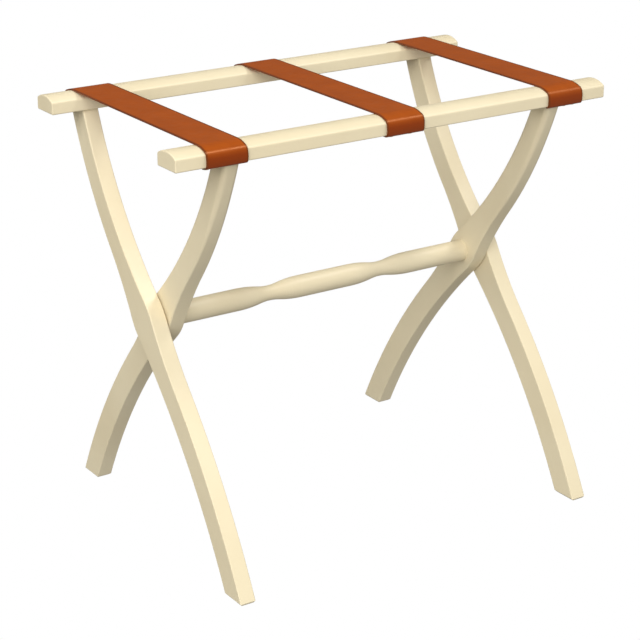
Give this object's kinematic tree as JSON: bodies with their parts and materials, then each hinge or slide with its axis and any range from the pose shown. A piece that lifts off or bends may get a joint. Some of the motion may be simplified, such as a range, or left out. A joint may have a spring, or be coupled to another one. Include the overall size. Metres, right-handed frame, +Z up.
{
  "type": "luggage rack",
  "caption": "Folding luggage rack: two curved X-leg frames pivoted on each other, crowned rails, a turned stretcher and straps that carry a case.",
  "frame": {"origin": "middle of the rack at floor level", "axes": "+X along the rails to the right as seen from the front, -Y towards the front, +Z up"},
  "size_m": [0.584, 0.4206, 0.5178],
  "materials": {
    "cream_paint": "smooth satin cream paint",
    "tan_leather": "smooth tan leather with burnished edges",
    "steel": "plain turned steel",
    "brass": "brass",
    "plain_wood": "unfinished hardwood"
  },
  "bodies": {
    "outer_frame": {"back_rail": "cream_paint", "outer_leg_left": "cream_paint", "outer_leg_right": "cream_paint", "back_dowels": "plain_wood", "pivot_pin_left": "steel", "pivot_pin_right": "steel", "pivot_washer_left": "steel", "pivot_washer_right": "steel", "strap_left": "tan_leather", "strap_middle": "tan_leather", "strap_right": "tan_leather", "back_strap_screws": "brass", "back_strap_washers": "brass"},
    "inner_frame": {"front_rail": "cream_paint", "inner_leg_left": "cream_paint", "inner_leg_right": "cream_paint", "stretcher": "cream_paint", "front_dowels": "plain_wood", "front_strap_screws": "brass", "front_strap_washers": "brass"}
  },
  "joints": [
    {"name": "fold", "type": "hinge", "parent": "outer_frame", "child": "inner_frame", "pos_m": [0, 0, 0.2746], "axis": [-1, 0, 0], "range_deg": [0, 53], "deforming": ["strap_left", "strap_middle", "strap_right"]}
  ]
}
